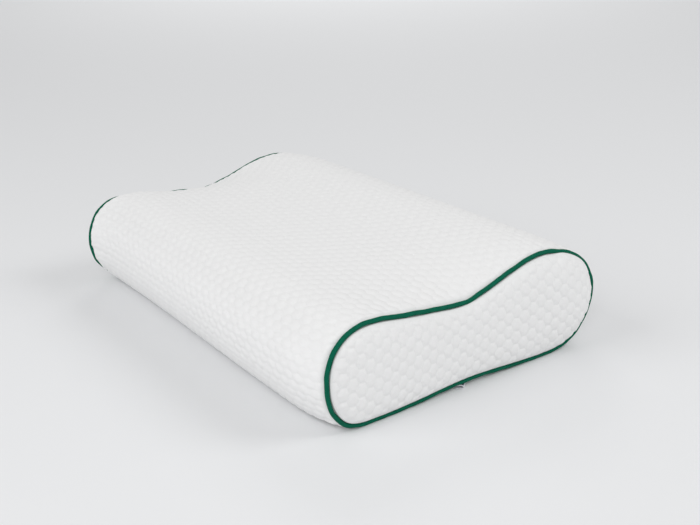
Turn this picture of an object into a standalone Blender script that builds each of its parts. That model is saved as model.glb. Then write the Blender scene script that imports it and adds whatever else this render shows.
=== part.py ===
"""A contour pillow: a low front lobe, a high rear lobe and a valley for the neck between them.

The cover is one wrap panel round the filling and a bean-shaped panel at each end. The wrap follows the
valley at the end seams and is stretched from lobe to lobe between them. A round piping cord is sewn into
each end seam, and a small folded label is caught in the near seam, under the pillow.

X runs along the pillow from the far end to the near end, Y from the front lobe to the rear lobe, Z up.
The origin is on the surface the pillow lies on, under the middle of the pillow. Units are metres.
"""
import math
from collections import namedtuple

import bpy
import numpy as np

MM = 0.001

# Sizes of the whole pillow
LENGTH = 0.500
DRAW_IN = 0.055
DRAW_POWER = 0.7
BRIDGE_REACH = 0.110
SKEW = 0.003
SWELL = 0.005

# Sizes of the seams and of the cord in them
CORD_RADIUS = 0.0023
GAP = 0.0003
SEAT = CORD_RADIUS + GAP
LIP = 0.0006
CORD_POINTS = 104

# Sizes of the end panels
PANEL_THICKNESS = 0.0018
PANEL_GAP = 0.0005
ROLL_HEIGHT = 0.0055
ROLL_WIDTH = 0.022
CROWN_HEIGHT = 0.0015
CROWN_WIDTH = 0.050
REAR_SWELL = 0.006
REAR_SWELL_Y = 0.150
REAR_SWELL_REACH = 0.085
FRONT_SWELL = 0.002
FRONT_SWELL_Y = -0.110
FRONT_SWELL_REACH = 0.035
SWELL_WIDTH = 0.040

# Sizes of the label, a tape folded once, which lies askew with one corner showing
LABEL_FOLD_X = 0.2504
LABEL_FOLD_Y = -0.0074
LABEL_WIDTH = 0.010
LABEL_TAPE = 0.0005
LABEL_TURN = math.radians(40)

# How finely the shapes are divided
HALF_STEPS = 42
SPAN_STEPS = 24
FILL_ROWS = 6
INSETS = (0.0, 0.001, 0.003, 0.0068, 0.013)

# The section across the pillow, in millimetres, going round from the front lobe's foot over the top
# to the rear lobe and back along the bottom. A row says where the cord lies at the end seam, and how far
# the filled section at mid-length stands away from there. Bridge is how much higher the cover is where it
# is stretched from lobe to lobe. Tuck lifts the far seam where it is less filled.
Row = namedtuple("Row", "place seam_y seam_z grow_y grow_z bridge tuck")
SECTION = (
    Row("front_foot", -124.0, 2.3, 0.0, -3.0, 0.0, 0.0),
    Row("front_heel", -154.0, 7.6, 1.5, -6.0, 0.0, 3.5),
    Row("front_low", -169.0, 24.0, -1.5, -3.0, 0.0, 2.0),
    Row("front_nose", -176.0, 52.0, -2.5, 0.0, 0.0, 0.0),
    Row("front_high", -170.2, 80.5, -3.0, 2.5, 0.0, 0.0),
    Row("front_shoulder", -152.0, 99.0, -1.0, 4.0, 0.0, 0.0),
    Row("front_crest", -127.0, 104.2, 0.0, 5.0, 0.5, 0.0),
    Row("front_slope", -86.0, 99.5, 0.0, 4.0, 7.0, 0.0),
    Row("valley_front", -40.0, 94.2, 0.0, 3.0, 14.6, 0.0),
    Row("valley", -11.0, 92.4, 0.0, 3.0, 17.6, 0.0),
    Row("valley_rear", 11.0, 96.5, 0.0, 2.0, 16.0, 0.0),
    Row("rear_slope", 49.5, 109.0, 0.0, 3.0, 6.4, 0.0),
    Row("rear_crest", 94.0, 118.6, 0.0, 5.0, 0.0, 0.0),
    Row("rear_shoulder", 129.0, 112.5, 2.5, 5.5, 0.0, 0.0),
    Row("rear_high", 160.0, 94.5, 5.0, 3.5, 0.0, 0.0),
    Row("rear_nose", 176.1, 63.0, 7.0, 0.0, 0.0, 0.0),
    Row("rear_low", 170.0, 34.0, 6.0, -3.0, 0.0, 0.0),
    Row("rear_heel", 146.0, 10.0, 5.0, -8.0, 0.0, 0.0),
    Row("rear_foot", 95.0, 2.3, 0.0, -3.0, 0.0, 0.0),
    Row("arch_rear", 38.0, 5.4, 0.0, -7.0, 0.0, 0.0),
    Row("arch", -6.0, 7.1, 0.0, -9.0, 0.0, 0.0),
    Row("arch_front", -58.0, 4.3, 0.0, -6.0, 0.0, 0.0),
)
PLACES = [row.place for row in SECTION]


def smooth_loop(points):
    """A closed cubic curve through the points, as SPAN_STEPS points for each span."""
    count = len(points)
    spans = np.linalg.norm(np.roll(points, -1, axis=0) - points, axis=1)
    system = np.zeros((count, count))
    target = np.zeros((count, 2))
    for i in range(count):
        after = (i + 1) % count
        system[i, i - 1] = spans[i - 1]
        system[i, i] = 2 * (spans[i - 1] + spans[i])
        system[i, after] = spans[i]
        leaving = (points[after] - points[i]) / spans[i]
        arriving = (points[i] - points[i - 1]) / spans[i - 1]
        target[i] = 6 * (leaving - arriving)
    bend = np.linalg.solve(system, target)
    curve = []
    for i in range(count):
        after = (i + 1) % count
        span = spans[i]
        for step in range(SPAN_STEPS):
            done = span * step / SPAN_STEPS
            left = span - done
            cubic = (bend[i] * left**3 + bend[after] * done**3) / (6 * span)
            line = (points[i] / span - bend[i] * span / 6) * left
            line += (points[after] / span - bend[after] * span / 6) * done
            curve.append(cubic + line)
    return np.array(curve)


def even_points(path, count):
    """Count points spread evenly along an open path, without the path's last point."""
    steps = np.linalg.norm(np.diff(path, axis=0), axis=1)
    travelled = np.concatenate([[0.0], np.cumsum(steps)])
    wanted = np.linspace(0.0, travelled[-1], count, endpoint=False)
    return np.column_stack([np.interp(wanted, travelled, path[:, axis]) for axis in range(2)])


def outline(fullness, lean, bridging=0.0, steps=HALF_STEPS):
    """The section's outline as (y, z) points, from the front nose under the pillow and back over the top.

    Fullness is 0 at a seam and 1 where the section is fully filled. Lean runs from -1 at the far end
    to 1 at the near end. Bridging is 0 at a seam and 1 where the cover spans the valley.
    """
    points = []
    for row in SECTION:
        y = (row.seam_y + fullness * row.grow_y) * MM
        z = (row.seam_z + fullness * row.grow_z + bridging * row.bridge) * MM
        front = min(max(-row.seam_y / 170.0, 0.0), 1.0)
        y -= fullness * lean * (SKEW + SWELL * front)
        far_seam = max(-lean, 0.0) * (1 - fullness)
        points.append((y + 0.5 * row.tuck * far_seam * MM, z + row.tuck * far_seam * MM))
    curve = smooth_loop(np.array(points))
    start = PLACES.index("front_nose") * SPAN_STEPS
    middle = PLACES.index("rear_nose") * SPAN_STEPS
    over = curve[start:middle + 1]
    under = np.vstack([curve[middle:], curve[:start + 1]])
    ring = np.vstack([even_points(under[::-1], steps), even_points(over[::-1], steps)])
    ring[:, 1] = np.maximum(ring[:, 1], CORD_RADIUS * (1 - fullness))
    return ring


def inset(ring, distance):
    """The ring moved inwards by the distance."""
    along = np.roll(ring, -1, axis=0) - np.roll(ring, 1, axis=0)
    along /= np.linalg.norm(along, axis=1)[:, None]
    return ring + distance * np.column_stack([-along[:, 1], along[:, 0]])


def lean_at(x):
    """How far along the pillow a section is, eased towards the ends."""
    return math.sin(math.pi * x / LENGTH)


def fullness_at(x):
    """How far the section at x is filled out, from 0 beside the seam to 1 away from it."""
    room = (LENGTH / 2 - SEAT - abs(x)) / DRAW_IN
    return math.sin(math.pi / 2 * min(max(room, 0.0), 1.0)) ** DRAW_POWER


def bridging_at(x):
    """How far the cover at x has left the seams' valley, from 0 beside a seam to 1 well away from both."""
    room = (LENGTH / 2 - SEAT - abs(x)) / BRIDGE_REACH
    return math.sin(math.pi / 2 * min(max(room, 0.0), 1.0)) ** DRAW_POWER


def body_rings():
    """The wrap panel's rings as (x, ring) pairs, from the far end to the near end."""
    near_end = LENGTH / 2
    stations = [0.0, 0.034, 0.068, 0.102, 0.134, 0.164]
    stations += [near_end - SEAT - room for room in (0.054, 0.040, 0.027, 0.017, 0.010, 0.005, 0.002)]
    stations = [-x for x in reversed(stations[1:])] + stations
    rings = []
    for x in stations:
        fullness = fullness_at(x)
        ring = outline(fullness, lean_at(x), bridging_at(x))
        rings.append((x, inset(ring, LIP * (1 - fullness))))
    corner = [(SEAT, LIP), (0.0019, 0.0019), (PANEL_THICKNESS / 2 + PANEL_GAP, SEAT)]
    for side in (-1, 1):
        seam = outline(0.0, side)
        lip = [(side * (near_end - back), inset(seam, down)) for back, down in corner]
        rings = lip[::-1] + rings if side < 0 else rings + lip
    return rings


def end_grid(rim):
    """Points and faces that fill a rim: rings along it, then columns from its lower to its upper side."""
    count = len(rim)
    half = count // 2
    rings = [inset(rim, distance) for distance in INSETS]
    points = np.vstack(rings)
    faces = []
    for k in range(len(rings) - 1):
        for i in range(count):
            j = (i + 1) % count
            faces.append((k * count + i, k * count + j, (k + 1) * count + j, (k + 1) * count + i))
    first = (len(rings) - 1) * count
    inner = rings[-1]
    columns = [[first] * (FILL_ROWS + 1)]
    for i in range(1, half):
        low = inner[i]
        high = inner[count - i]
        column = [first + i]
        for row in range(1, FILL_ROWS):
            column.append(len(points))
            points = np.vstack([points, low + (high - low) * row / FILL_ROWS])
        column.append(first + count - i)
        columns.append(column)
    columns.append([first + half] * (FILL_ROWS + 1))
    for left, right in zip(columns[:-1], columns[1:]):
        for row in range(FILL_ROWS):
            corners = (left[row], right[row], right[row + 1], left[row + 1])
            faces.append(tuple(dict.fromkeys(corners)))
    return points, faces


def distance_to(rim, points):
    """The distance from each point to the rim."""
    start = rim[None]
    along = np.roll(rim, -1, axis=0)[None] - start
    away = points[:, None] - start
    share = np.clip((away * along).sum(-1) / (along * along).sum(-1), 0.0, 1.0)
    return np.linalg.norm(away - share[..., None] * along, axis=2).min(axis=1)


def bulge(distance, y):
    """How far an end panel stands out, by the distance from its rim and the place across the pillow.

    It has a rolled edge and a low crown, and a swell over each lobe, the larger one over the rear lobe.
    """
    roll = np.clip(distance / ROLL_WIDTH, 0.0, 1.0)
    crown = np.clip(distance / CROWN_WIDTH, 0.0, 1.0)
    swell = np.clip(distance / SWELL_WIDTH, 0.0, 1.0)
    rear = REAR_SWELL * np.exp(-((y - REAR_SWELL_Y) / REAR_SWELL_REACH) ** 2)
    front = FRONT_SWELL * np.exp(-((y - FRONT_SWELL_Y) / FRONT_SWELL_REACH) ** 2)
    rolled = ROLL_HEIGHT * np.sqrt(1 - (1 - roll) ** 2) + CROWN_HEIGHT * np.sin(math.pi / 2 * crown)
    return rolled + (rear + front) * (1 - (1 - swell) ** 2)


def turned(face):
    """The face seen from its other side, with the same first corner."""
    return (face[0],) + face[:0:-1]


def split(faces):
    """The faces as triangles, each cut from its first corner."""
    return [(face[0], face[i], face[i + 1]) for face in faces for i in range(1, len(face) - 1)]


def add_solid(name, points, faces, collection, material, smooth_angle=40.0):
    """A mesh object from points and faces, shaded smooth."""
    mesh = bpy.data.meshes.new(name)
    mesh.from_pydata([tuple(point) for point in points], [], split(faces))
    mesh.validate()
    mesh.shade_smooth()
    mesh.set_sharp_from_angle(angle=math.radians(smooth_angle))
    mesh.materials.append(material)
    solid = bpy.data.objects.new(name, mesh)
    collection.objects.link(solid)
    return solid


def end_surface(side, shift):
    """An end's bulged surface as 3D points and faces, moved outwards by the shift."""
    rim = inset(outline(0.0, side), SEAT)
    flat, faces = end_grid(rim)
    x = LENGTH / 2 + shift + bulge(distance_to(rim, flat), flat[:, 0])
    return np.column_stack([side * x, flat]), faces, len(rim)


def add_body(collection, material):
    """The filled body: the wrap panel's rings, closed at each end under the end panel."""
    rings = body_rings()
    count = len(rings[0][1])
    points = [np.column_stack([np.full(count, x), ring]) for x, ring in rings]
    faces = []
    for k in range(len(rings) - 1):
        for i in range(count):
            j = (i + 1) % count
            faces.append((k * count + i, k * count + j, (k + 1) * count + j, (k + 1) * count + i))
    total = len(rings) * count
    for side in (-1, 1):
        surface, end_faces, rim_count = end_surface(side, -PANEL_THICKNESS / 2 - PANEL_GAP)
        ring_start = 0 if side < 0 else (len(rings) - 1) * count
        shift = total - rim_count
        points.append(surface[rim_count:])
        for face in end_faces:
            face = tuple(ring_start + v if v < rim_count else shift + v for v in face)
            faces.append(face if side > 0 else turned(face))
        total += len(surface) - rim_count
    return add_solid("pillow_body", np.vstack(points), faces, collection, material)


def add_end_panel(name, side, collection, material):
    """An end panel: two bulged faces a thickness apart, joined round the rim."""
    outer, faces, rim_count = end_surface(side, PANEL_THICKNESS / 2)
    inner = end_surface(side, -PANEL_THICKNESS / 2)[0]
    count = len(outer)
    solid_faces = [face if side > 0 else turned(face) for face in faces]
    for face in faces:
        face = tuple(v + count for v in face)
        solid_faces.append(turned(face) if side > 0 else face)
    for i in range(rim_count):
        j = (i + 1) % rim_count
        wall = (i, i + count, j + count, j)
        solid_faces.append(wall if side > 0 else turned(wall))
    return add_solid(name, np.vstack([outer, inner]), solid_faces, collection, material)


def add_cord(name, side, collection, material):
    """A piping cord: a closed round tube along the seam."""
    ring = outline(0.0, side, steps=CORD_POINTS // 2)
    curve = bpy.data.curves.new(name, "CURVE")
    curve.dimensions = "3D"
    curve.bevel_depth = CORD_RADIUS
    curve.bevel_resolution = 2
    spline = curve.splines.new("POLY")
    spline.points.add(len(ring) - 1)
    for point, (y, z) in zip(spline.points, ring):
        point.co = (side * LENGTH / 2, y, z, 1.0)
    spline.use_cyclic_u = True
    spline.use_smooth = True
    curve.materials.append(material)
    cord = bpy.data.objects.new(name, curve)
    collection.objects.link(cord)
    return cord


def add_label(collection, material):
    """The label: a tape folded once, from under the near seam down to the surface and back."""
    seam = outline(0.0, 1)[:HALF_STEPS]
    cord_under = float(np.interp(LABEL_FOLD_Y, seam[:, 0], seam[:, 1])) - CORD_RADIUS
    under = cord_under - GAP - LABEL_TAPE / 2
    # The tape's middle line, as distances from the fold and heights above the surface
    route = (
        (-0.0110, under - 0.0012), (-0.0065, under - 0.0005), (-0.0030, under), (-0.0013, under - 0.0007),
        (-0.0002, under - 0.0019), (-0.0007, under - 0.0029), (-0.0030, 0.0010), (-0.0090, 0.0007),
    )
    curve = bpy.data.curves.new("seam_label_line", "CURVE")
    curve.dimensions = "3D"
    curve.extrude = LABEL_WIDTH / 2
    spline = curve.splines.new("POLY")
    spline.points.add(len(route) - 1)
    for point, (along, height) in zip(spline.points, route):
        point.co = (along, 0.0, height, 1.0)
        point.tilt = math.radians(90)
    guide = bpy.data.objects.new("seam_label_line", curve)
    collection.objects.link(guide)
    tape = bpy.data.meshes.new_from_object(guide.evaluated_get(bpy.context.evaluated_depsgraph_get()))
    bpy.data.objects.remove(guide)
    tape.materials.clear()
    tape.materials.append(material)
    label = bpy.data.objects.new("seam_label", tape)
    label.location = (LABEL_FOLD_X, LABEL_FOLD_Y, 0.0)
    label.rotation_euler = (0.0, 0.0, LABEL_TURN)
    collection.objects.link(label)
    thicken = label.modifiers.new("thickness", "SOLIDIFY")
    thicken.thickness = LABEL_TAPE
    thicken.offset = 0.0
    return label


def cloth(name, colour, roughness):
    """A cloth material of one colour."""
    material = bpy.data.materials.new(name)
    material.use_nodes = True
    shader = material.node_tree.nodes["Principled BSDF"]
    shader.inputs["Base Color"].default_value = (*colour, 1.0)
    shader.inputs["Roughness"].default_value = roughness
    shader.inputs["Metallic"].default_value = 0.0
    return material


def main():
    """Clear the scene and model the pillow's pieces."""
    for item in list(bpy.data.objects):
        bpy.data.objects.remove(item)
    collection = bpy.data.collections.new("contour_pillow")
    bpy.context.scene.collection.children.link(collection)
    cover = cloth("white_blister_knit", (0.83, 0.83, 0.83), 0.9)
    piping = cloth("green_piping", (0.006, 0.110, 0.072), 0.75)
    tape = cloth("white_tape", (0.80, 0.81, 0.84), 0.6)
    add_body(collection, cover)
    for name, side in (("near", 1), ("far", -1)):
        add_end_panel("end_panel_" + name, side, collection, cover)
        add_cord("piping_" + name, side, collection, piping)
    add_label(collection, tape)


main()
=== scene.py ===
"""The looks of a contour pillow: a blister-knit cover, two piping cords and a folded seam label.

The cover's cells are raised in the meshes by Geometry Nodes, and the cords are swept along the end seams by
Geometry Nodes too. X runs along the pillow to the near end, Y from the low lobe to the high lobe, Z up.
"""
import logging
import math
from dataclasses import dataclass, field
from enum import Enum
from typing import NamedTuple

import bpy
import numpy as np
from bpy.types import Material, NodeSocket, Object
from mathutils import Matrix, Vector
from mathutils.geometry import delaunay_2d_cdt


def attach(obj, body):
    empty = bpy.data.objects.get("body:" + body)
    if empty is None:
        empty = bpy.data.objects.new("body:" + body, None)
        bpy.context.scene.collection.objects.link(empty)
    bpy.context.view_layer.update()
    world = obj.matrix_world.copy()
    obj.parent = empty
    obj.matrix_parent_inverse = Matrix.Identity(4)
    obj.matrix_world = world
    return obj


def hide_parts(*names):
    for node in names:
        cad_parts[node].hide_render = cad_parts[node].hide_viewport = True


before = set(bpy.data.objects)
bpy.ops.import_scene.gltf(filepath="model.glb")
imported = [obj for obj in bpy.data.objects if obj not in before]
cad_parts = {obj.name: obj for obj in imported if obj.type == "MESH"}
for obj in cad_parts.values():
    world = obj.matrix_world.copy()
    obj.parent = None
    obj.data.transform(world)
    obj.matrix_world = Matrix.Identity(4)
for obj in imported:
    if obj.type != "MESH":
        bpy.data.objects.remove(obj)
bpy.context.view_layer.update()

LOG = logging.getLogger("pillow")
MM = 0.001
CLOTH_MAP = "cloth"
HOLD = "hold"
ALONG = "along"
ROUND = "round"
Sockets = bpy.types.bpy_prop_collection
Faces = list[tuple[int, ...]]
Triple = tuple[float, float, float]
Pairs = tuple[tuple[float, float], ...]


class End(Enum):
    """The pillow's two ends, by the side of the middle that they lie on."""

    NEAR = 1
    FAR = -1

    @property
    def label(self) -> str:
        """The end's name, as the solids use it."""
        return self.name.lower()

    def seed(self, first: int) -> int:
        """The first seed at the near end, and the next one at the far end."""
        return first if self is End.NEAR else first + 1


class SectionRow(NamedTuple):
    """One place on the section: the seam's point, how the filling moves it, the bridge and the tuck."""

    place: str
    seam_y: float
    seam_z: float
    grow_y: float
    grow_z: float
    bridge: float
    tuck: float


SECTION_ROWS = (
    SectionRow("front_foot", -124.0, 2.3, 0.0, -3.0, 0.0, 0.0),
    SectionRow("front_heel", -154.0, 7.6, 1.5, -6.0, 0.0, 3.5),
    SectionRow("front_low", -169.0, 24.0, -1.5, -3.0, 0.0, 2.0),
    SectionRow("front_nose", -176.0, 52.0, -2.5, 0.0, 0.0, 0.0),
    SectionRow("front_high", -170.2, 80.5, -3.0, 2.5, 0.0, 0.0),
    SectionRow("front_shoulder", -152.0, 99.0, -1.0, 4.0, 0.0, 0.0),
    SectionRow("front_crest", -127.0, 104.2, 0.0, 5.0, 0.5, 0.0),
    SectionRow("front_slope", -86.0, 99.5, 0.0, 4.0, 7.0, 0.0),
    SectionRow("valley_front", -40.0, 94.2, 0.0, 3.0, 14.6, 0.0),
    SectionRow("valley", -11.0, 92.4, 0.0, 3.0, 17.6, 0.0),
    SectionRow("valley_rear", 11.0, 96.5, 0.0, 2.0, 16.0, 0.0),
    SectionRow("rear_slope", 49.5, 109.0, 0.0, 3.0, 6.4, 0.0),
    SectionRow("rear_crest", 94.0, 118.6, 0.0, 5.0, 0.0, 0.0),
    SectionRow("rear_shoulder", 129.0, 112.5, 2.5, 5.5, 0.0, 0.0),
    SectionRow("rear_high", 160.0, 94.5, 5.0, 3.5, 0.0, 0.0),
    SectionRow("rear_nose", 176.1, 63.0, 7.0, 0.0, 0.0, 0.0),
    SectionRow("rear_low", 170.0, 34.0, 6.0, -3.0, 0.0, 0.0),
    SectionRow("rear_heel", 146.0, 10.0, 5.0, -8.0, 0.0, 0.0),
    SectionRow("rear_foot", 95.0, 2.3, 0.0, -3.0, 0.0, 0.0),
    SectionRow("arch_rear", 38.0, 5.4, 0.0, -7.0, 0.0, 0.0),
    SectionRow("arch", -6.0, 7.1, 0.0, -9.0, 0.0, 0.0),
    SectionRow("arch_front", -58.0, 4.3, 0.0, -6.0, 0.0, 0.0),
)


class SeamPlace(NamedTuple):
    """A place along a seam, by how far across the pillow it lies in metres, and a value there."""

    y: float
    value: float


FAR_LAPS = (
    SeamPlace(-0.176, 1.4), SeamPlace(-0.165, 1.8), SeamPlace(-0.150, 1.7), SeamPlace(-0.130, 2.1),
    SeamPlace(-0.090, 1.6), SeamPlace(-0.068, 0.8), SeamPlace(-0.050, -0.4), SeamPlace(-0.014, -0.4),
    SeamPlace(-0.003, 1.3), SeamPlace(0.008, 0.9), SeamPlace(0.030, 1.3), SeamPlace(0.045, 1.9),
    SeamPlace(0.060, 1.7), SeamPlace(0.080, 1.2),
)


@dataclass
class PillowForm:
    """The filled form that every piece of the cover follows."""

    length: float = 0.500
    draw_in: float = 0.055
    draw_power: float = 0.7
    bridge_reach: float = 0.110
    skew: float = 0.003
    swell: float = 0.005
    swell_span: float = 0.170
    tuck_forward: float = 0.5
    cord_radius: float = 0.0023
    seat: float = 0.0026
    lip: float = 0.0006
    span_steps: int = 24
    rows: tuple[SectionRow, ...] = SECTION_ROWS

    def smooth_loop(self, points: np.ndarray) -> np.ndarray:
        """A closed cubic curve through points, each span cut into even steps of its own.

        Args:
            points: the (y, z) points to pass through, in order.

        Returns:
            The curve's (y, z) points, span_steps for each span.
        """
        count = len(points)
        spans = np.linalg.norm(np.roll(points, -1, axis=0) - points, axis=1)
        before = np.roll(spans, 1)
        system = np.diag(2 * (before + spans))
        for i in range(count):
            system[i, i - 1] = before[i]
            system[i, (i + 1) % count] = spans[i]
        leaving = (np.roll(points, -1, axis=0) - points) / spans[:, None]
        bend = np.linalg.solve(system, 6 * (leaving - np.roll(leaving, 1, axis=0)))
        share = np.arange(self.span_steps) / self.span_steps
        done = spans[:, None] * share
        left = spans[:, None] - done
        after = np.roll(points, -1, axis=0)
        bend_after = np.roll(bend, -1, axis=0)
        curve = (bend[:, None] * left[..., None] ** 3 + bend_after[:, None] * done[..., None] ** 3)
        curve = curve / (6 * spans[:, None, None])
        curve = curve + (points / spans[:, None] - bend * spans[:, None] / 6)[:, None] * left[..., None]
        curve = curve + (after / spans[:, None] - bend_after * spans[:, None] / 6)[:, None] * done[..., None]
        return curve.reshape(-1, 2)

    def sides(self, fullness: float, lean: float, bridging: float = 0.0) -> tuple[np.ndarray, np.ndarray]:
        """The section's upper and lower sides as dense curves.

        Args:
            fullness: 0 at a seam, 1 where the section is fully filled.
            lean: from -1 at the far end to 1 at the near end.
            bridging: 0 at a seam, 1 where the cover spans the valley from lobe to lobe.

        Returns:
            The curve from the front nose over the top to the rear nose, and the one back underneath.
        """
        points = []
        far_seam = max(-lean, 0.0) * (1 - fullness)
        for row in self.rows:
            y = (row.seam_y + fullness * row.grow_y) * MM
            z = (row.seam_z + fullness * row.grow_z + bridging * row.bridge) * MM
            front = min(max(-row.seam_y * MM / self.swell_span, 0.0), 1.0)
            y -= fullness * lean * (self.skew + self.swell * front)
            tuck = row.tuck * far_seam * MM
            points.append((y + self.tuck_forward * tuck, z + tuck))
        curve = self.smooth_loop(np.array(points))
        curve[:, 1] = np.maximum(curve[:, 1], self.cord_radius * (1 - fullness))
        places = [row.place for row in self.rows]
        start = places.index("front_nose") * self.span_steps
        middle = places.index("rear_nose") * self.span_steps
        return curve[start:middle + 1], np.vstack([curve[middle:], curve[:start + 1]])

    def lean_at(self, x: float) -> float:
        """How far along the pillow a section is, eased towards the ends."""
        return math.sin(math.pi * x / self.length)

    def eased(self, x: float, reach: float) -> float:
        """From 0 beside the nearer seam to 1 at a reach from it."""
        room = (self.length / 2 - self.seat - abs(x)) / reach
        return math.sin(math.pi / 2 * min(max(room, 0.0), 1.0)) ** self.draw_power

    def sides_at(self, x: float) -> tuple[np.ndarray, np.ndarray]:
        """The upper and lower sides of the filled section at x."""
        return self.sides(self.eased(x, self.draw_in), self.lean_at(x), self.eased(x, self.bridge_reach))


def travelled(path: np.ndarray) -> np.ndarray:
    """The distance travelled along a path at each of its points."""
    return np.concatenate([[0.0], np.cumsum(np.linalg.norm(np.diff(path, axis=0), axis=1))])


def at_shares(path: np.ndarray, shares: np.ndarray) -> np.ndarray:
    """Points of a path at shares of its length.

    Args:
        path: the path's points.
        shares: shares of the whole length, from 0 to 1.

    Returns:
        A point for each share.
    """
    far = travelled(path)
    return np.column_stack([np.interp(shares * far[-1], far, path[:, axis]) for axis in range(path.shape[1])])


def standing(x: float, ring: np.ndarray) -> np.ndarray:
    """Points of a ring, with its place along the pillow put before their own measures."""
    return np.column_stack([np.full(len(ring), x), ring])


def inset(ring: np.ndarray, distance: float | np.ndarray, clockwise: bool = False) -> np.ndarray:
    """A closed ring moved inwards.

    Args:
        ring: the ring's (y, z) points.
        distance: how far inwards, in metres, for the whole ring or for each point.
        clockwise: whether the ring runs clockwise seen from the near end.

    Returns:
        The moved ring.
    """
    along = np.roll(ring, -1, axis=0) - np.roll(ring, 1, axis=0)
    along /= np.linalg.norm(along, axis=1)[:, None]
    turn = -1.0 if clockwise else 1.0
    return ring + turn * np.reshape(distance, (-1, 1)) * np.column_stack([-along[:, 1], along[:, 0]])


def distance_to(rim: np.ndarray, points: np.ndarray) -> np.ndarray:
    """The distance from each point to a closed rim.

    Args:
        rim: the rim's points.
        points: the points to measure.

    Returns:
        A distance for each point.
    """
    along = np.roll(rim, -1, axis=0) - rim
    squared = (along * along).sum(-1)
    nearest = []
    for some in np.array_split(points, 1 + len(points) // 2000):
        away = some[:, None] - rim[None]
        share = np.clip((away * along).sum(-1) / squared, 0.0, 1.0)
        nearest.append(np.linalg.norm(away - share[..., None] * along, axis=2).min(axis=1))
    return np.concatenate(nearest)


def ripple(place: np.ndarray, waves: Pairs, seed: int) -> np.ndarray:
    """A smooth uneven line: a few sine waves of the lengths given, each at a random phase.

    Args:
        place: where to read it, in metres.
        waves: (wave length, share) pairs.
        seed: the seed of the phases.

    Returns:
        A value about 0 for each place.
    """
    draw = np.random.default_rng(seed)
    total = np.zeros_like(place)
    for wave_length, share in waves:
        total += share * np.sin(2 * math.pi * place / wave_length + draw.uniform(0, 2 * math.pi))
    return total


def smooth_step(place: np.ndarray, start: float, reach: float) -> np.ndarray:
    """From 0 at the start to 1 a reach further on, eased at both."""
    share = np.clip((place - start) / reach, 0.0, 1.0)
    return share * share * (3 - 2 * share)


def lofted(rings: int, count: int, closed: bool = True, turned: bool = False) -> Faces:
    """The faces between rings of points that follow each other.

    Args:
        rings: how many rings there are.
        count: how many points each has.
        closed: whether a ring's last point joins its first.
        turned: whether the faces look the other way.

    Returns:
        The faces, each of four points.
    """
    faces = []
    for low in range(0, (rings - 1) * count, count):
        for i in range(count if closed else count - 1):
            j = (i + 1) % count
            face = (low + i, low + count + i, low + count + j, low + j)
            faces.append((face[0], *face[:0:-1]) if turned else face)
    return faces


def add_mesh(name: str, points: np.ndarray, faces: Faces, edges: Faces | None = None) -> Object:
    """A mesh object at the origin, shaded smooth.

    Args:
        name: the object's name.
        points: its points, in metres.
        faces: its faces, as tuples of point numbers.
        edges: its edges, where it has no faces.

    Returns:
        The new object, linked to the scene.
    """
    mesh = bpy.data.meshes.new(name)
    mesh.from_pydata(points.tolist(), edges or [], faces)
    mesh.shade_smooth()
    item = bpy.data.objects.new(name, mesh)
    bpy.context.scene.collection.objects.link(item)
    return item


def add_values(item: Object, name: str, values: np.ndarray) -> None:
    """Stores a number for each point of a mesh.

    Args:
        item: the mesh object.
        name: the attribute's name.
        values: a number for each point.
    """
    layer = item.data.attributes.new(name, "FLOAT", "POINT")
    layer.data.foreach_set("value", values.astype(np.float32))


def add_cloth_map(item: Object, flat: np.ndarray, around: float = 0.0) -> None:
    """Stores each point's place on the flat cloth as a UV map, in metres.

    Args:
        item: the mesh object.
        flat: the (along, across) place of each point.
        around: for cloth that closes on itself, its length across, so that no face spans the join.
    """
    layer = item.data.uv_layers.new(name=CLOTH_MAP)
    corners = np.empty(len(item.data.loops), dtype=np.int32)
    item.data.loops.foreach_get("vertex_index", corners)
    places = flat[corners]
    if around:
        sizes = np.array([face.loop_total for face in item.data.polygons])
        highest = np.repeat(np.maximum.reduceat(places[:, 1], np.cumsum(sizes) - sizes), sizes)
        places[:, 1] += np.where(highest - places[:, 1] > around / 2, around, 0.0)
    layer.data.foreach_set("uv", places.astype(np.float32).ravel())


class Craft:
    """Adds nodes to a tree and links them, with short calls for sums."""

    def __init__(self, tree: bpy.types.NodeTree) -> None:
        """Works on the tree given."""
        self.tree = tree

    def add(self, kind: str, inputs: dict | None = None, **settings) -> bpy.types.Node:
        """Adds a node.

        Args:
            kind: the node's type name.
            inputs: what goes into its inputs, by name or number: values or output sockets.
            **settings: the node's own settings.

        Returns:
            The new node.
        """
        node = self.tree.nodes.new(kind)
        for name, value in settings.items():
            setattr(node, name, value)
        for key, value in (inputs or {}).items():
            if isinstance(value, NodeSocket):
                self.tree.links.new(value, node.inputs[key])
            else:
                node.inputs[key].default_value = value
        return node

    def sum(self, operation: str, *values) -> NodeSocket:
        """The result of a Math node on the values, which are numbers or sockets."""
        return self.add("ShaderNodeMath", dict(enumerate(values)), operation=operation).outputs[0]

    def split(self, vector: NodeSocket) -> Sockets:
        """The three parts of a vector."""
        return self.add("ShaderNodeSeparateXYZ", {0: vector}).outputs

    def pushed(self, shape: NodeSocket, height: NodeSocket) -> NodeSocket:
        """The shape with its points moved outwards by a height."""
        normal = self.add("GeometryNodeInputNormal").outputs[0]
        out = self.add("ShaderNodeVectorMath", {0: normal, "Scale": height}, operation="SCALE")
        return self.add("GeometryNodeSetPosition", {"Geometry": shape, "Offset": out.outputs[0]}).outputs[0]


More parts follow.
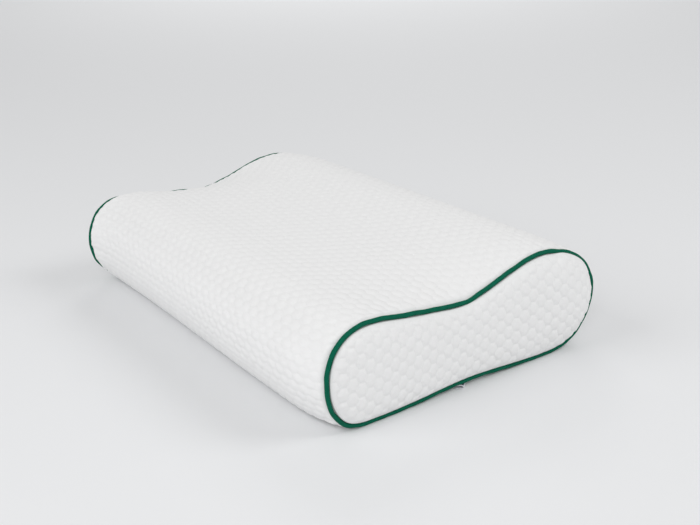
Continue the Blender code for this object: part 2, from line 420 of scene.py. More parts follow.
class ClothTree(Craft):
    """A Geometry Nodes tree with named inputs that ends in plain geometry dressed in a cloth."""

    def __init__(self, name: str, sizes: dict[str, float | int]) -> None:
        """Makes the tree with its inputs.

        Args:
            name: the tree's name.
            sizes: the inputs' names and values, where a whole number makes an input for whole numbers.
        """
        super().__init__(bpy.data.node_groups.new(name, "GeometryNodeTree"))
        face = self.tree.interface
        face.new_socket("Geometry", in_out="OUTPUT", socket_type="NodeSocketGeometry")
        face.new_socket("Geometry", in_out="INPUT", socket_type="NodeSocketGeometry")
        for size, value in sizes.items():
            kind = "NodeSocketInt" if isinstance(value, int) else "NodeSocketFloat"
            face.new_socket(size, in_out="INPUT", socket_type=kind).default_value = value
        self.cloth = face.new_socket("Cloth", in_out="INPUT", socket_type="NodeSocketMaterial").identifier
        self.given = self.add("NodeGroupInput").outputs

    def end(self, shape: NodeSocket) -> None:
        """Makes the shape's instances real, dresses it and gives it out."""
        real = self.add("GeometryNodeRealizeInstances", {"Geometry": shape}).outputs[0]
        dressed = self.add("GeometryNodeSetMaterial", {"Geometry": real, "Material": self.given["Cloth"]})
        self.add("NodeGroupOutput", {"Geometry": dressed.outputs[0]})

    def apply(self, item: Object, cloth: Material) -> None:
        """Turns an object into the plain mesh that the tree makes of it.

        Args:
            item: the object.
            cloth: the material that the tree sets.
        """
        modifier = item.modifiers.new("cloth_tree", "NODES")
        modifier.node_group = self.tree
        modifier[self.cloth] = cloth
        evaluated = item.evaluated_get(bpy.context.evaluated_depsgraph_get())
        mesh = bpy.data.meshes.new_from_object(evaluated)
        item.modifiers.remove(modifier)
        old = item.data
        item.data = mesh
        bpy.data.meshes.remove(old)
        mesh.name = item.name


class Dye(Craft):
    """A new material and the craft of its tree."""

    def __init__(self, name: str, roughness: float, specular: float = 0.5) -> None:
        """Makes the material.

        Args:
            name: its name.
            roughness: how rough it is.
            specular: how strongly it shines.
        """
        self.made = bpy.data.materials.new(name)
        self.made.use_nodes = True
        super().__init__(self.made.node_tree)
        self.shader = self.tree.nodes["Principled BSDF"]
        self.shader.inputs["Roughness"].default_value = roughness
        self.shader.inputs["Specular IOR Level"].default_value = specular

    def cloth_place(self) -> NodeSocket:
        """The place on the flat cloth, in metres."""
        return self.add("ShaderNodeUVMap", uv_map=CLOTH_MAP).outputs[0]

    def colour(self, share: NodeSocket, first: tuple, second: tuple) -> None:
        """Colours the material from the first colour to the second, by a share from 0 to 1."""
        blend = self.add("ShaderNodeMix", {0: share}, data_type="RGBA")
        blend.inputs[6].default_value = (*first, 1.0)
        blend.inputs[7].default_value = (*second, 1.0)
        self.tree.links.new(blend.outputs[2], self.shader.inputs["Base Color"])

    def bump(self, height: NodeSocket, depth: float, strength: float = 1.0) -> None:
        """Adds a bump over those that are there.

        Args:
            height: the bump's height, as a share of its depth.
            depth: the depth, in metres.
            strength: how strongly it shows.
        """
        normal = self.shader.inputs["Normal"]
        under = {"Normal": normal.links[0].from_socket} if normal.is_linked else {}
        relief = {"Strength": strength, "Distance": depth, "Height": height, **under}
        self.tree.links.new(self.add("ShaderNodeBump", relief).outputs[0], normal)


@dataclass(frozen=True)
class BlisterRelief:
    """The raised cells of the blister knit, as a Geometry Nodes tree that moves a mesh's points."""

    cell_length: float = 0.0145
    row_pitch: float = 0.00923
    height: float = 0.0012
    puff: float = 3.4
    variation: float = 0.12
    crease_power: float = 9.0
    crease_depth: float = 0.00013
    seed: int = 11
    cell_numbers: Triple = (101.0, 7919.0, 17.0)

    @staticmethod
    def cell_edge(craft: Craft, along: NodeSocket, row: NodeSocket, odd: int) -> tuple[NodeSocket, ...]:
        """The nodes for the cells of every second row.

        Args:
            craft: the tree's craft.
            along: the place along the rows, in cells.
            row: the place across the rows, in rows.
            odd: 0 for the even rows, 1 for the odd ones, which stand half a cell along.

        Returns:
            How far out in its cell a point lies, 0.5 at the edge, and the cell's two numbers.
        """
        moved = craft.sum("SUBTRACT", along, odd / 2)
        cell = craft.sum("ROUND", moved)
        pair = craft.sum("ROUND", craft.sum("DIVIDE", craft.sum("SUBTRACT", row, float(odd)), 2.0))
        middle = craft.sum("MULTIPLY_ADD", pair, 2.0, float(odd))
        side = craft.sum("ABSOLUTE", craft.sum("SUBTRACT", moved, cell))
        # The cell is a hexagon: two upright sides, and four that slant.
        up = craft.sum("MULTIPLY", craft.sum("ABSOLUTE", craft.sum("SUBTRACT", row, middle)), 0.75)
        slanted = craft.sum("MULTIPLY_ADD", side, 0.5, up)
        return craft.sum("MAXIMUM", side, slanted), cell, middle

    def cells(self, craft: Craft, place: Sockets, length: NodeSocket | float,
              pitch: NodeSocket | float) -> tuple[NodeSocket, tuple, tuple]:
        """The nodes for the cell that a point lies in.

        Args:
            craft: the tree's craft.
            place: sockets for the place on the flat cloth, along and across.
            length: the cells' length.
            pitch: the rows' pitch.

        Returns:
            How far out in its cell a point lies, 1 at the edge, and the nearest cell of the even and of
            the odd rows, each as its edge and its two numbers.
        """
        along = craft.sum("DIVIDE", place[0], length)
        row = craft.sum("DIVIDE", place[1], pitch)
        even, odd = (self.cell_edge(craft, along, row, first) for first in (0, 1))
        return craft.sum("MULTIPLY", craft.sum("MINIMUM", even[0], odd[0]), 2.0), even, odd

    def crease(self, craft: Craft, place: Sockets) -> NodeSocket:
        """The nodes for the fine crease between the cells: 1 in its middle, 0 on the cells."""
        edge = self.cells(craft, place, self.cell_length, self.row_pitch)[0]
        return craft.sum("POWER", craft.sum("MINIMUM", edge, 1.0), self.crease_power)

    def tree(self) -> ClothTree:
        """The Geometry Nodes tree, with its sizes as named inputs."""
        craft = ClothTree("blister_relief", {
            "Cell Length": self.cell_length, "Row Pitch": self.row_pitch, "Height": self.height,
            "Puff": self.puff, "Variation": self.variation, "Seed": self.seed,
        })
        given = craft.given
        flat = craft.add("GeometryNodeInputNamedAttribute", {"Name": CLOTH_MAP}, data_type="FLOAT_VECTOR")
        place = craft.split(flat.outputs["Attribute"])
        edge, even, odd = self.cells(craft, place, given["Cell Length"], given["Row Pitch"])
        names = [craft.add("ShaderNodeCombineXYZ", {0: cell[1], 1: cell[2], 2: float(side)}).outputs[0]
                 for side, cell in enumerate((even, odd))]
        in_even = craft.sum("LESS_THAN", even[0], odd[0])
        name = craft.add("ShaderNodeMix", {0: in_even, 4: names[1], 5: names[0]}, data_type="VECTOR")
        whole = craft.add("ShaderNodeVectorMath", {0: name.outputs[1], 1: self.cell_numbers},
                          operation="DOT_PRODUCT")
        chance = craft.add("FunctionNodeRandomValue", {
            2: -0.5, 3: 0.5, "ID": whole.outputs["Value"], "Seed": given["Seed"],
        }, data_type="FLOAT")
        puffed = craft.sum("SUBTRACT", 1.0, craft.sum("POWER", edge, given["Puff"]))
        uneven = craft.sum("MULTIPLY_ADD", chance.outputs[1], given["Variation"], 1.0)
        held = craft.add("GeometryNodeInputNamedAttribute", {"Name": HOLD}, data_type="FLOAT")
        rise = craft.sum("MULTIPLY", craft.sum("MULTIPLY", puffed, uneven), given["Height"])
        rise = craft.sum("MULTIPLY", rise, held.outputs["Attribute"])
        craft.end(craft.pushed(given["Geometry"], rise))
        return craft


@dataclass(frozen=True)
class KnitFinish:
    """White polyester blister knit: matt, softly fuzzy, with fine courses and crisp creases between cells."""

    name: str
    relief: BlisterRelief
    colour: Triple = (0.84, 0.84, 0.84)
    worn_colour: Triple = (0.82, 0.82, 0.82)
    roughness: float = 0.88
    specular: float = 0.2
    sheen: float = 0.1
    sheen_roughness: float = 0.5
    mottle_scale: float = 45.0
    mottle_share: float = 0.3
    fibre_scale: float = 2600.0
    wale_pitch: float = 0.0011
    course_pitch: float = 0.0011 / 1.3
    course_depth: float = 0.00010
    course_strength: float = 0.6

    def material(self) -> Material:
        """The finish as a material that reads the cloth map."""
        dye = Dye(self.name, self.roughness, self.specular)
        dye.shader.inputs["Sheen Weight"].default_value = self.sheen
        dye.shader.inputs["Sheen Roughness"].default_value = self.sheen_roughness
        flat = dye.cloth_place()
        place = dye.split(flat)
        mottle = dye.add("ShaderNodeTexNoise", {"Vector": flat, "Scale": self.mottle_scale, "Detail": 3.0})
        fibre = dye.add("ShaderNodeTexNoise", {"Vector": flat, "Scale": self.fibre_scale, "Detail": 2.0})
        dye.colour(dye.sum("MULTIPLY", mottle.outputs[0], self.mottle_share), self.colour, self.worn_colour)
        dye.bump(dye.sum("MULTIPLY", self.relief.crease(dye, place), -1.0), self.relief.crease_depth)
        wales = dye.sum("SINE", dye.sum("MULTIPLY", place[0], 2 * math.pi / self.wale_pitch))
        courses = dye.sum("SINE", dye.sum("MULTIPLY", place[1], 2 * math.pi / self.course_pitch))
        knit = dye.sum("MULTIPLY_ADD", dye.sum("MULTIPLY", wales, courses), 0.5, fibre.outputs[0])
        dye.bump(knit, self.course_depth, self.course_strength)
        return dye.made


@dataclass(frozen=True)
class PipingFinish:
    """Dark green bias-cut cloth, wrapped round the cord: fine slanting ribs and a soft worn top."""

    name: str = "green_piping_cloth"
    colour: Triple = (0.001, 0.155, 0.088)
    shade: Triple = (0.0005, 0.095, 0.052)
    roughness: float = 0.8
    specular: float = 0.12
    rib_pitch: float = 0.0009
    rib_depth: float = 0.00018
    rib_strength: float = 0.7
    rib_tone: float = 0.18
    patch_scale: float = 160.0
    patch_height: float = 0.8

    def material(self) -> Material:
        """The finish as a material that reads the lengths along and round the cord."""
        dye = Dye(self.name, self.roughness, self.specular)
        along, turned = (dye.add("ShaderNodeAttribute", attribute_name=name) for name in (ALONG, ROUND))
        slanted = dye.sum("ADD", along.outputs["Fac"], turned.outputs["Fac"])
        ribs = dye.sum("SINE", dye.sum("MULTIPLY", slanted, 2 * math.pi / self.rib_pitch))
        place = dye.add("ShaderNodeTexCoord").outputs["Object"]
        noise = dye.add("ShaderNodeTexNoise", {"Vector": place, "Scale": self.patch_scale, "Detail": 4.0})
        patch = noise.outputs[0]
        dye.colour(dye.sum("MULTIPLY_ADD", ribs, self.rib_tone, patch), self.colour, self.shade)
        dye.bump(dye.sum("MULTIPLY_ADD", patch, self.patch_height, ribs), self.rib_depth, self.rib_strength)
        return dye.made


@dataclass(frozen=True)
class TapeFinish:
    """White satin label tape with a plain dark woven band, and no words."""

    name: str = "white_label_tape"
    colour: Triple = (0.78, 0.79, 0.83)
    band: Triple = (0.03, 0.045, 0.07)
    band_from: float = 0.0012
    band_to: float = 0.0075
    margin: float = 0.0038
    roughness: float = 0.55
    weft_pitch: float = 0.0004
    weft_depth: float = 0.00005
    weft_strength: float = 0.4

    def material(self) -> Material:
        """The finish as a material that reads the tape's own map, in metres from the fold."""
        dye = Dye(self.name, self.roughness)
        along, across, _ = dye.split(dye.cloth_place())
        inside = dye.sum("MULTIPLY", dye.sum("GREATER_THAN", along, self.band_from),
                         dye.sum("LESS_THAN", along, self.band_to))
        inside = dye.sum("MULTIPLY", inside, dye.sum("LESS_THAN", dye.sum("ABSOLUTE", across), self.margin))
        dye.colour(inside, self.colour, self.band)
        weft = dye.sum("SINE", dye.sum("MULTIPLY", along, 2 * math.pi / self.weft_pitch))
        dye.bump(weft, self.weft_depth, self.weft_strength)
        return dye.made


@dataclass
class WrapCover:
    """The wrap panel over the filling: one closed form, drawn in at both ends, its cells raised."""

    form: PillowForm
    relief: BlisterRelief
    rows_round: int = 92
    row_steps: int = 6
    rest_stride: int = 4
    rest_margins: tuple[float, float] = (0.075, 0.062)
    samples: int = 2001
    stretch: float = 0.035
    stretch_ease: float = 4.0
    valley_stretch: float = 0.065
    valley_share: float = 0.465
    valley_width: float = 0.25
    seam_fade: float = 0.004
    floor_fade: float = 0.006
    lap: float = 0.0018
    lap_reach: float = 0.0035
    lap_fade: float = 0.015
    pucker: float = 0.00035
    pucker_reach: float = 0.018
    waves: Pairs = ((0.011, 0.5), (0.017, 0.6), (0.031, 0.7), (0.052, 0.5))
    seed: int = 3
    corner: Pairs = ((0.0019, 0.0019), (0.0014, 0.0026))
    item: Object | None = field(default=None, init=False)

    def stations(self) -> np.ndarray:
        """The places along the pillow of the rings, an even part of a cell apart."""
        reach = self.form.length / 2 - self.form.seat
        count = 2 * round(reach * self.row_steps / self.relief.cell_length)
        return np.linspace(-reach, reach, count + 1)

    def threads_round(self, over_length: float, around: float) -> tuple[np.ndarray, np.ndarray]:
        """The places of the mesh's lines round the form, an even part of a row of cells apart.

        Args:
            over_length: the length of the section's upper side, from nose to nose.
            around: the length of the whole section.

        Returns:
            Each line's place on the flat cloth, and its distance round the form from the front nose. The
            cloth is stretched over the top, most of all between the lobes.
        """
        distance = np.linspace(0.0, around, self.samples)
        share = np.clip(distance / over_length, 0.0, 1.0)
        stretch = 1 + self.stretch * np.clip(self.stretch_ease * np.sin(math.pi * share), 0.0, 1.0)
        stretch += self.valley_stretch * np.exp(-((share - self.valley_share) / self.valley_width) ** 4)
        middles = (stretch[1:] + stretch[:-1]) / 2
        cloth = np.concatenate([[0.0], np.cumsum(np.diff(distance) / middles)])
        cloth *= around / cloth[-1]
        total = self.rows_round * self.row_steps
        threads = np.arange(total) / total * around
        far = np.interp(threads, cloth, distance)
        heel, toe = self.rest_margins
        resting = (far > over_length + heel) & (far < around - toe)
        kept = ~resting | (np.arange(total) % self.rest_stride == 0)
        return threads[kept], far[kept]

    def build(self, cloth: Material) -> None:
        """Builds the cover's mesh and raises its cells.

        Args:
            cloth: the knit material.
        """
        form = self.form
        over, under = form.sides_at(0.0)
        over_length = travelled(over)[-1]
        around = over_length + travelled(under)[-1]
        threads, far = self.threads_round(over_length, around)
        upper = far[far < over_length]
        shares = upper / over_length, (far[len(upper):] - over_length) / (around - over_length)
        stations = self.stations()
        rings, holds = map(list, zip(*(self.ring(x, shares, threads) for x in stations)))
        near, far_end = ([self.seam_ring(end, *place, shares) for place in self.corner] for end in End)
        rings = far_end[::-1] + rings + near
        bare = [np.zeros(len(threads))] * len(self.corner)
        holds = bare + holds + bare
        seam_x = [form.length / 2] * len(self.corner)
        flats = [standing(x, threads) for x in [*np.negative(seam_x), *stations, *seam_x]]
        faces = lofted(len(rings), len(threads))
        points = np.vstack(rings)
        faces += [tuple(range(len(threads))), tuple(reversed(range(len(points) - len(threads), len(points))))]
        self.item = add_mesh("wrap_cover", points, faces)
        add_cloth_map(self.item, np.vstack(flats), around)
        add_values(self.item, HOLD, np.concatenate(holds))
        self.relief.tree().apply(self.item, cloth)
        self.rest_on_surface()

    def ring(self, x: float, shares: tuple, threads: np.ndarray) -> tuple[np.ndarray, np.ndarray]:
        """One ring of the cover's points.

        Args:
            x: its place along the pillow.
            shares: its points' places along the upper and the lower side, as shares of the side's length.
            threads: its points' places on the flat cloth.

        Returns:
            The points, and how far each may be raised: 0 at the seam and the floor, 1 elsewhere.
        """
        form = self.form
        end = End.NEAR if x > 0 else End.FAR
        ring = np.vstack(list(map(at_shares, form.sides_at(x), shares)))
        room = form.length / 2 - form.seat - abs(x)
        crumple = self.pucker * math.exp(-room / self.pucker_reach) * min(room / self.seam_fade, 1.0)
        wave = ripple(threads, self.waves, end.seed(self.seed))
        ring = inset(ring, form.lip * (1 - form.eased(x, form.draw_in)), clockwise=True)
        floor = np.clip(ring[:, 1] / self.floor_fade, 0.0, 1.0)
        puffed = np.full(len(ring), self.lap * math.sin(math.pi / 2 * min(room / self.lap_reach, 1.0)))
        if x < 0:
            top = slice(None, len(shares[0]))
            puffed[top] *= np.interp(ring[top, 0], *zip(*FAR_LAPS))
        puffed *= math.exp(-max(room - self.lap_reach, 0.0) / self.lap_fade)
        out = crumple * wave + puffed * floor
        return standing(x, inset(ring, -out, clockwise=True)), floor * min(room / self.seam_fade, 1.0)

    def seam_ring(self, end: End, back: float, down: float, shares: tuple) -> np.ndarray:
        """A ring of points under the cord, where the cloth turns in to the seam.

        Args:
            end: which end it lies at.
            back: how far it lies from the seam towards the middle.
            down: how far it lies inside the seam.
            shares: its points' places along the upper and the lower side.

        Returns:
            The points.
        """
        seam = np.vstack(list(map(at_shares, self.form.sides(0.0, end.value), shares)))
        return standing(end.value * (self.form.length / 2 - back), inset(seam, down, clockwise=True))

    def rest_on_surface(self) -> None:
        """Keeps every point on or above the surface that the pillow lies on."""
        mesh = self.item.data
        spots = np.empty(len(mesh.vertices) * 3, dtype=np.float32)
        mesh.vertices.foreach_get("co", spots)
        spots = spots.reshape(-1, 3)
        spots[:, 2] = np.maximum(spots[:, 2], 0.0)
        mesh.vertices.foreach_set("co", spots.ravel())
        mesh.update()

    def declare(self) -> None:
        """Tells the frame what the cover stands for."""
        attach(self.item, "root")
        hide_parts("pillow_body")


@dataclass
class EndCover:
    """An end panel: a bean-shaped piece of the knit, bulged over the filling, its cells upright."""

    form: PillowForm
    relief: BlisterRelief
    end: End
    rim_points: int = 600
    overlap: float = 0.0020
    overlap_lift: float = 0.0010
    shoulder_y: tuple[float, float] = (0.108, 0.020)
    shoulder_z: tuple[float, float] = (0.075, 0.025)
    spacing: float = 0.00125
    clearance: float = 0.7
    rear_stretch: float = 0.12
    rear_shear: float = 0.115
    stretch_y: tuple[float, float] = (-0.01, 0.06)
    thickness: float = 0.0016
    panel_half: float = 0.0009
    roll_height: float = 0.0055
    roll_width: float = 0.022
    crown_height: float = 0.0015
    crown_width: float = 0.050
    rear_swell: float = 0.006
    rear_swell_y: float = 0.150
    rear_swell_reach: float = 0.085
    front_swell: float = 0.002
    front_swell_y: float = -0.110
    front_swell_reach: float = 0.035
    swell_width: float = 0.040
    rim_steps: tuple[float, ...] = (0.0, 0.0004, 0.0010, 0.0018)
    seam_fade: float = 0.006
    pucker: float = 0.0003
    pucker_reach: float = 0.010
    pucker_fade: float = 0.003
    waves: Pairs = ((0.009, 0.5), (0.015, 0.7), (0.027, 0.6))
    middle_z: float = 0.055
    breadth: float = 3.0
    mean_radius: float = 0.14
    seed: int = 5
    item: Object | None = field(default=None, init=False)
    cut_area: float = field(default=0.0, init=False)

    def rim(self) -> np.ndarray:
        """The panel's rim, from the front nose under the pillow and back over the top."""
        over, under = self.form.sides(0.0, self.end.value)
        half = self.rim_points // 2
        shares = np.arange(half) / half
        lower = at_shares(under[::-1], shares)
        upper = at_shares(over[::-1], shares)
        ring = np.vstack([lower, upper])
        return inset(ring, self.form.seat - self.overlap * self.rear_share(ring))

    def rear_share(self, flat: np.ndarray) -> np.ndarray:
        """How far the panel's edge is puffed over the cord: 1 over the rear shoulder, and 0 elsewhere."""
        return smooth_step(flat[:, 0], *self.shoulder_y) * smooth_step(flat[:, 1], *self.shoulder_z)

    def grid(self, rim: np.ndarray) -> tuple[np.ndarray, Faces]:
        """Points and faces that fill the rim: rings along it, then even triangles.

        Args:
            rim: the rim's points.

        Returns:
            The (y, z) points and the faces.
        """
        count = len(rim)
        rings = [inset(rim, step) for step in self.rim_steps]
        faces = lofted(len(rings), count, turned=True)
        first = (len(rings) - 1) * count
        inner = rings[-1]
        low, high = inner.min(axis=0), inner.max(axis=0)
        filling = []
        rise = self.spacing * math.sqrt(3) / 2
        for row in range(int((high[1] - low[1]) / rise)):
            y = np.arange(low[0], high[0], self.spacing) + self.spacing / 2 * (row % 2)
            filling.append(np.column_stack([y, np.full(len(y), low[1] + rise * (row + 0.5))]))
        filling = np.vstack(filling)
        clear = distance_to(inner[::2], filling) > self.clearance * self.spacing
        filling = filling[self.inside(inner, filling) & clear]
        spots = [Vector(spot) for spot in np.vstack([inner, filling])]
        edges = [(i, (i + 1) % count) for i in range(count)]
        found = delaunay_2d_cdt(spots, edges, [], 1, 1e-9)
        assert len(found[0]) == len(spots)
        for face in found[2]:
            (ay, az), (by, bz), (cy, cz) = (spots[v] for v in face)
            turning = (by - ay) * (cz - az) - (cy - ay) * (bz - az)
            face = tuple(first + v for v in face)
            faces.append(face if turning > 0 else face[::-1])
        return np.vstack([*rings, filling]), faces

    @staticmethod
    def inside(ring: np.ndarray, points: np.ndarray) -> np.ndarray:
        """Which of the points lie inside the ring.

        Args:
            ring: the closed ring's points.
            points: the points to try.

        Returns:
            True for each point inside.
        """
        crossings = np.zeros(len(points), dtype=int)
        for (ay, az), (by, bz) in zip(ring, np.roll(ring, -1, axis=0)):
            spans = (az > points[:, 1]) != (bz > points[:, 1])
            crossing = ay + (points[spans, 1] - az) / (bz - az) * (by - ay)
            crossings[spans] += points[spans, 0] < crossing
        return crossings % 2 == 1

    def on_cloth(self, flat: np.ndarray) -> np.ndarray:
        """Where each point of the panel lies on the flat cloth.

        Args:
            flat: the (y, z) points.

        Returns:
            The (along, across) places. The cloth is stretched over the rear lobe, where its rows slope.
        """
        y = np.linspace(-0.2, 0.2, 801)
        rear = smooth_step(y, *self.stretch_y)
        step = y[1] - y[0]
        across = np.cumsum(step / (1 + self.rear_stretch * rear))
        slope = np.cumsum(step * self.rear_shear * rear)
        places = flat[:, 0]
        return np.column_stack([flat[:, 1] + np.interp(places, y, slope), np.interp(places, y, across)])

    def bulge(self, distance: np.ndarray, y: np.ndarray) -> np.ndarray:
        """How far the panel stands out: a rolled edge, a low crown and a swell over each lobe.

        Args:
            distance: each point's distance from the rim.
            y: each point's place across the pillow.

        Returns:
            How far each point stands out from the seam.
        """
        roll = np.clip(distance / self.roll_width, 0.0, 1.0)
        crown = np.clip(distance / self.crown_width, 0.0, 1.0)
        swell = np.clip(distance / self.swell_width, 0.0, 1.0)
        rear = self.rear_swell * np.exp(-((y - self.rear_swell_y) / self.rear_swell_reach) ** 2)
        front = self.front_swell * np.exp(-((y - self.front_swell_y) / self.front_swell_reach) ** 2)
        rolled = self.roll_height * np.sqrt(1 - (1 - roll) ** 2)
        rolled = rolled + self.crown_height * np.sin(math.pi / 2 * crown)
        return rolled + (rear + front) * (1 - (1 - swell) ** 2)

    def build(self, cloth: Material) -> None:
        """Builds the panel's mesh, raises its cells and gives it its thickness.

        Args:
            cloth: the knit material.
        """
        rim = self.rim()
        flat, faces = self.grid(rim)
        distance = distance_to(rim[::2], flat)
        distance[:len(rim)] = 0.0
        side = self.end.value
        place = np.arctan2(flat[:, 1] - self.middle_z, flat[:, 0] / self.breadth) * self.mean_radius
        wave = ripple(place, self.waves, self.end.seed(self.seed))
        crumple = self.pucker * np.exp(-distance / self.pucker_reach)
        crumple *= np.clip(distance / self.pucker_fade, 0.0, 1.0)
        over_cord = self.overlap_lift * self.rear_share(flat) * np.exp(-distance / self.pucker_reach)
        out = self.panel_half + self.bulge(distance, flat[:, 0]) + crumple * wave + over_cord
        x = side * (self.form.length / 2 + out)
        if side < 0:
            faces = [face[::-1] for face in faces]
        self.item = add_mesh(f"end_cover_{self.end.label}", np.column_stack([x, flat]), faces)
        add_cloth_map(self.item, self.on_cloth(flat))
        add_values(self.item, HOLD, np.clip(distance / self.seam_fade, 0.0, 1.0))
        edges = np.roll(rim, -1, axis=0)
        self.cut_area = abs(float((rim[:, 0] * edges[:, 1] - edges[:, 0] * rim[:, 1]).sum())) / 2
        self.relief.tree().apply(self.item, cloth)
        wall = self.item.modifiers.new("thickness", "SOLIDIFY")
        wall.thickness = self.thickness
        wall.offset = -1.0

    def declare(self) -> None:
        """Tells the frame what the panel stands for."""
        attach(self.item, "root")
        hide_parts(f"end_panel_{self.end.label}")


@dataclass
class PipingCord:
    """A piping cord in an end seam: bias-cut cloth round a filler cord, swept by Geometry Nodes."""

    form: PillowForm
    end: End
    points: int = 900
    sides: int = 20
    unevenness: float = 0.00022
    lump_scale: float = 170.0
    wander: float = 0.00025
    loop_length: float = 0.83
    waves: tuple[tuple[int, float], ...] = ((40, 0.5), (27, 0.6), (15, 0.7))
    seed: int = 7
    kinks: tuple[SeamPlace, ...] = (SeamPlace(-0.006, -0.0013), SeamPlace(0.137, 0.0008))
    kink_reach: float = 0.013
    item: Object | None = field(default=None, init=False)

    def tree(self) -> ClothTree:
        """The Geometry Nodes tree that sweeps a round cloth tube along a closed line."""
        craft = ClothTree("piping_sweep", {
            "Radius": self.form.cord_radius, "Unevenness": self.unevenness, "Sides": self.sides,
        })
        given = craft.given
        line = craft.add("GeometryNodeMeshToCurve", {"Mesh": given["Geometry"]}).outputs[0]
        circle = craft.add("GeometryNodeCurvePrimitiveCircle", {"Resolution": given["Sides"], "Radius": 1.0})
        kept = self.captured(craft, line, ALONG, "Length")
        turned = self.captured(craft, circle.outputs[0], ROUND, "Factor")
        swept = craft.add("GeometryNodeCurveToMesh", {
            "Curve": kept["Geometry"], "Profile Curve": turned["Geometry"], "Scale": given["Radius"],
        }).outputs[0]
        around = craft.sum("MULTIPLY", turned[ROUND], 2 * math.pi * self.form.cord_radius)
        for name, value in ((ALONG, kept[ALONG]), (ROUND, around)):
            swept = craft.add("GeometryNodeStoreNamedAttribute", {
                "Geometry": swept, "Name": name, "Value": value,
            }, data_type="FLOAT", domain="POINT").outputs[0]
        lumps = craft.add("ShaderNodeTexNoise", {"Scale": self.lump_scale, "Detail": 2.0}).outputs[0]
        height = craft.sum("MULTIPLY", craft.sum("SUBTRACT", lumps, 0.5), given["Unevenness"])
        uneven = craft.pushed(swept, craft.sum("MULTIPLY", height, 2.0))
        craft.end(craft.add("GeometryNodeSetShadeSmooth", {"Geometry": uneven}).outputs[0])
        return craft

    @staticmethod
    def captured(craft: Craft, curve: NodeSocket, name: str, part: str) -> Sockets:
        """Keeps how far along a curve each of its points lies.

        Args:
            craft: the tree's craft.
            curve: the curve.
            name: the name to keep it under.
            part: what is kept, the "Length" so far or the "Factor" of the whole.

        Returns:
            The curve and the kept value, by name.
        """
        reading = craft.add("GeometryNodeSplineParameter").outputs[part]
        kept = craft.add("GeometryNodeCaptureAttribute", {"Geometry": curve}, domain="POINT")
        kept.capture_items.new("FLOAT", name)
        craft.tree.links.new(reading, kept.inputs[name])
        return kept.outputs

    def build(self, cloth: Material) -> None:
        """Builds the line of the seam and sweeps the cord along it.

        Args:
            cloth: the piping material.
        """
        over, under = self.form.sides(0.0, self.end.value)
        half = self.points // 2
        shares = np.arange(half) / half
        ring = np.vstack([at_shares(over, shares), at_shares(under, shares)])
        far = np.arange(len(ring)) / len(ring) * self.loop_length
        waves = tuple((self.loop_length / count, share) for count, share in self.waves)
        sway = self.wander * ripple(far, waves, self.end.seed(self.seed))
        if self.end is End.NEAR:
            for kink, side in zip(self.kinks, (slice(None, half), slice(half, None))):
                near = np.clip(1 - np.abs(ring[side, 0] - kink.y) / self.kink_reach, 0.0, 1.0)
                sway[side] += kink.value * near
        ring = inset(ring, -sway, clockwise=True)
        ring[:, 1] = np.maximum(ring[:, 1], self.form.cord_radius + self.unevenness)
        line = standing(self.end.value * self.form.length / 2, ring)
        edges = [(i, (i + 1) % len(line)) for i in range(len(line))]
        self.item = add_mesh(f"piping_cord_{self.end.label}", line, [], edges)
        self.tree().apply(self.item, cloth)

    def declare(self) -> None:
        """Tells the frame what the cord stands for."""
        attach(self.item, "root")
        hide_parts(f"piping_{self.end.label}")


@dataclass
class SeamLabel:
    """The label caught in the near seam: a tape folded once, lying askew with one corner showing."""

    fold_x: float = 0.2518
    fold_y: float = -0.0080
    width: float = 0.010
    tape: float = 0.0004
    turn: float = math.radians(40)
    under: float = 0.0044
    steps: int = 39
    across_steps: int = 8
    smoothings: int = 3
    curl: float = 0.00015
    curl_across: float = 4.0
    curl_along: float = 300.0
    item: Object | None = field(default=None, init=False)
    length: float = field(default=0.0, init=False)

    def route(self) -> np.ndarray:
        """The tape's middle line: distances from the fold and heights above the surface."""
        top = self.under
        return np.array([
            (-0.0110, top - 0.0012), (-0.0065, top - 0.0005), (-0.0030, top), (-0.0013, top - 0.0007),
            (-0.0002, top - 0.0019), (-0.0007, top - 0.0029), (-0.0030, 0.0010), (-0.0090, 0.0007),
        ])

    def build(self, cloth: Material) -> None:
        """Builds the folded tape.

        Args:
            cloth: the tape's material.
        """
        path = at_shares(self.route(), np.linspace(0, 1, self.steps + 1))
        for _ in range(self.smoothings):
            path[1:-1] = (path[:-2] + 2 * path[1:-1] + path[2:]) / 4
        far = travelled(path)
        self.length = float(far[-1])
        fold = far[int(np.argmax(path[:, 0]))]
        across = np.linspace(-self.width / 2, self.width / 2, self.across_steps + 1)
        points = []
        flat = []
        for (along, height), distance in zip(path, far):
            for side in across:
                lift = self.curl * math.sin(side / self.width * self.curl_across + distance * self.curl_along)
                points.append((along, side, height + lift))
                flat.append((fold - distance, side))
        place = Matrix.Translation((self.fold_x, self.fold_y, 0.0)) @ Matrix.Rotation(self.turn, 4, "Z")
        placed = np.array([place @ Vector(point) for point in points])
        self.item = add_mesh("label_tape", placed, lofted(len(path), len(across), closed=False))
        self.item.data.materials.append(cloth)
        add_cloth_map(self.item, np.array(flat))
        wall = self.item.modifiers.new("thickness", "SOLIDIFY")
        wall.thickness = self.tape
        wall.offset = 0.0

    def declare(self) -> None:
        """Tells the frame what the label stands for."""
        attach(self.item, "root")
        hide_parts("seam_label")


class Softbox(NamedTuple):
    """A square area light: its name, where it hangs, its side in metres and its power in watts."""

    name: str
    place: Triple
    size: float
    power: float


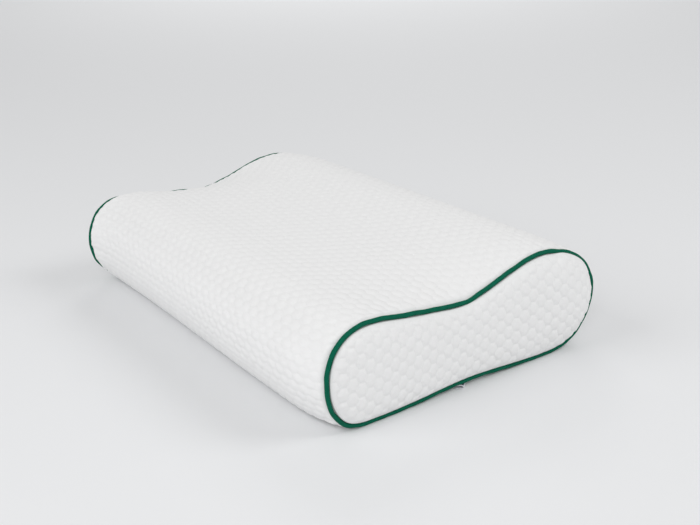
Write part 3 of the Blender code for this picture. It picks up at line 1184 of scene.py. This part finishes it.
@dataclass
class Studio:
    """The plain floor, the soft light and the camera."""

    lens: float = 55.0
    frame_width: float = 36.0
    camera_place: Triple = (0.94984, -0.67067, 0.49698)
    azimuth: float = math.radians(53.22)
    elevation: float = math.radians(20.71)
    roll: float = math.radians(-0.91)
    floor_size: float = 16.0
    floor_colour: Triple = (0.812, 0.819, 0.830)
    floor_roughness: float = 0.7
    floor_specular: float = 0.2
    world_strength: float = 0.445
    softboxes: tuple[Softbox, ...] = (
        Softbox("front_softbox", (-0.6, -2.4, 1.8), 1.8, 26.0),
        Softbox("camera_softbox", (1.8, -1.5, 1.5), 1.2, 19.5),
        Softbox("right_softbox", (1.6, 1.8, 2.0), 1.4, 24.5),
    )
    floor_softbox: Softbox = Softbox("floor_softbox", (-3.0, 2.3, 2.4), 2.0, 36.0)

    def floor(self) -> None:
        """A pale plain floor, wide enough to fill the view."""
        half = self.floor_size / 2
        corners = np.array([(-half, -half, 0), (half, -half, 0), (half, half, 0), (-half, half, 0)])
        item = add_mesh("studio_floor", corners.astype(float), [(0, 1, 2, 3)])
        paper = Dye("studio_paper", self.floor_roughness, self.floor_specular)
        paper.shader.inputs["Base Color"].default_value = (*self.floor_colour, 1.0)
        item.data.materials.append(paper.made)

    def hang(self, box: Softbox, target: Triple = (0.0, 0.0, 0.05)) -> None:
        """Hangs a softbox so that it faces the target, which is the pillow unless another is given."""
        light = bpy.data.lights.new(box.name, "AREA")
        light.size = box.size
        light.energy = box.power
        item = bpy.data.objects.new(box.name, light)
        item.location = box.place
        item.rotation_euler = (Vector(target) - Vector(box.place)).to_track_quat("-Z", "Y").to_euler()
        bpy.context.scene.collection.objects.link(item)

    def light(self) -> None:
        """An even room and large softboxes round the pillow."""
        world = bpy.data.worlds.new("studio_room")
        world.use_nodes = True
        sky = world.node_tree.nodes["Background"]
        sky.inputs["Color"].default_value = (1.0, 1.0, 1.0, 1.0)
        sky.inputs["Strength"].default_value = self.world_strength
        bpy.context.scene.world = world
        for box in self.softboxes:
            self.hang(box)
        across, along, _ = self.floor_softbox.place
        self.hang(self.floor_softbox, (across, along, 0.0))
        bpy.context.scene.view_settings.view_transform = "Standard"

    def camera(self) -> None:
        """The camera at the photograph's place and angle."""
        camera = bpy.data.cameras.new("studio_camera")
        camera.lens = self.lens
        camera.sensor_width = self.frame_width
        camera.clip_start = 0.01
        item = bpy.data.objects.new("studio_camera", camera)
        tilt = Matrix.Rotation(math.pi / 2 - self.elevation, 4, "X")
        turn = Matrix.Rotation(self.azimuth, 4, "Z")
        rolled = Matrix.Rotation(self.roll, 4, "Z")
        item.matrix_world = Matrix.Translation(self.camera_place) @ turn @ tilt @ rolled
        bpy.context.scene.collection.objects.link(item)
        bpy.context.scene.camera = item

    def build(self) -> None:
        """Builds the floor, the light and the camera."""
        self.floor()
        self.light()
        self.camera()


def main() -> None:
    """Builds the studio and the pillow's pieces, in order, and reports each."""
    logging.basicConfig(level=logging.INFO, format="%(message)s")
    Studio().build()
    form = PillowForm()
    piping = PipingFinish().material()
    around = sum(travelled(side)[-1] for side in form.sides_at(0.0))
    wrap_relief = BlisterRelief(row_pitch=around / WrapCover.rows_round)
    end_relief = BlisterRelief(row_pitch=0.00965)
    pieces = [WrapCover(form, wrap_relief)]
    pieces += [EndCover(form, end_relief, end) for end in End]
    cords = [PipingCord(form, end) for end in End]
    label = SeamLabel()
    knits = {
        wrap_relief: KnitFinish("wrap_blister_knit", wrap_relief).material(),
        end_relief: KnitFinish("end_blister_knit", end_relief).material(),
    }
    for piece in pieces:
        piece.build(knits[piece.relief])
    for cord in cords:
        cord.build(piping)
    label.build(TapeFinish().material())
    for piece in [*pieces, *cords, label]:
        piece.declare()
        triangles = sum(len(face.vertices) - 2 for face in piece.item.data.polygons)
        LOG.info("%s: %d triangles before its thickness", piece.item.name, triangles)


if __name__ == "__main__":
    main()
